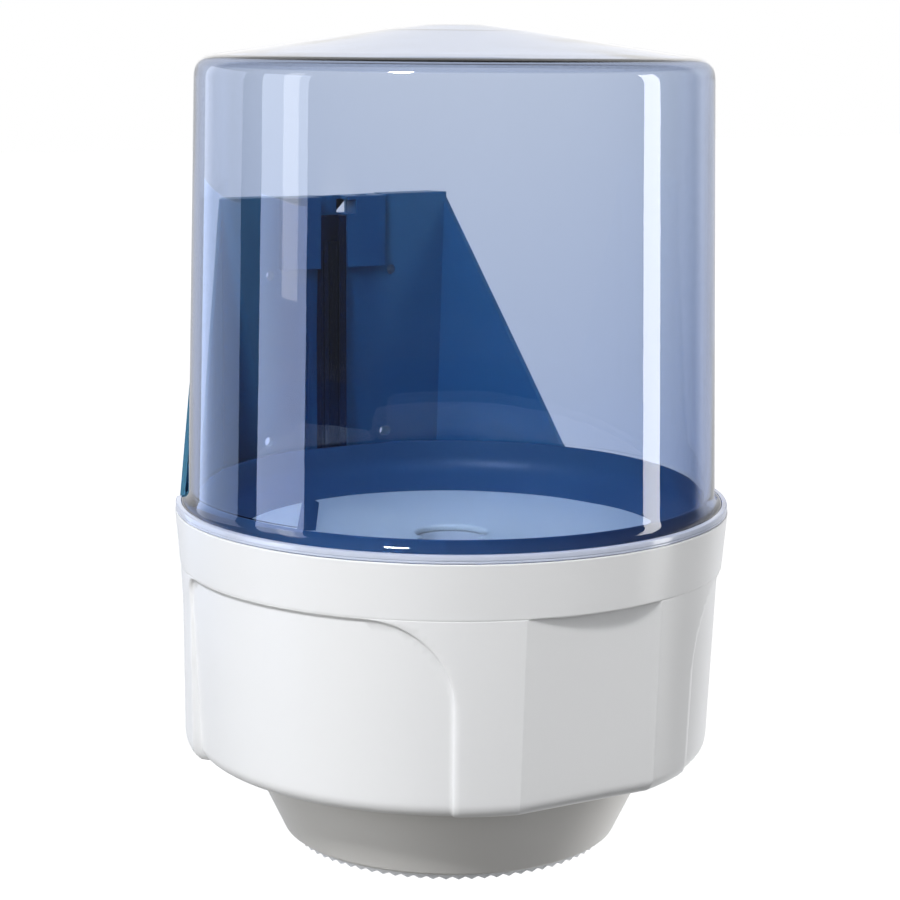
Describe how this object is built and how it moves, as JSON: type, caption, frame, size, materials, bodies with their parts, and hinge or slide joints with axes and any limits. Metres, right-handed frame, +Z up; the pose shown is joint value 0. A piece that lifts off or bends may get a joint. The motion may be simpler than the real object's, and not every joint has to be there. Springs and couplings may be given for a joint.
{
  "type": "centrefeed roll dispenser",
  "caption": "Wall-hung centrefeed roll dispenser: a roll stands under a clear blue lift-off cover, and its paper is drawn down through a white casing and out of a toothed neck.",
  "frame": {"origin": "on the wall behind the roll's axis, level with the top of the casing's rim", "axes": "+Z up, -Y out of the wall to the front, +X to the right seen from the front"},
  "size_m": [0.245, 0.2495, 0.3602],
  "materials": {
    "white_plastic": "white, satin gloss",
    "pale_plastic": "white, satin",
    "blue_plastic": "dark blue, satin gloss",
    "dark_plastic": "near black, satin",
    "clear_blue_plastic": "clear blue, glossy",
    "screw_steel": "plain zinc plate"
  },
  "bodies": {
    "body": {"casing": "white_plastic", "back_body": "blue_plastic", "guide_rail": "dark_plastic", "lock_housing": "blue_plastic", "lock_plate": "blue_plastic", "roll_tray": "blue_plastic", "floor_plate": "pale_plastic", "paper_guide": "pale_plastic", "neck_cone": "pale_plastic", "tear_ring": "pale_plastic", "body_screw_1": "screw_steel", "body_screw_2": "screw_steel", "body_screw_3": "screw_steel", "body_screw_4": "screw_steel", "neck_screw_1": "screw_steel", "neck_screw_2": "screw_steel", "neck_screw_3": "screw_steel", "neck_screw_4": "screw_steel", "guide_screw_1": "screw_steel", "guide_screw_2": "screw_steel", "guide_screw_3": "screw_steel", "rail_screw_1": "screw_steel", "rail_screw_2": "screw_steel", "lock_screw_1": "screw_steel", "lock_screw_2": "screw_steel"},
    "cover": {"cover": "clear_blue_plastic", "cover_rib": "clear_blue_plastic"},
    "bolt": {"lock_bolt": "dark_plastic"}
  },
  "joints": [
    {"name": "cover_lift", "type": "slide", "parent": "body", "child": "cover", "axis": [0, 0, 1], "range_m": [0, 0.13]},
    {"name": "bolt_slide", "type": "slide", "parent": "body", "child": "bolt", "axis": [-1, 0, 0], "range_m": [0, 0.0032]}
  ]
}
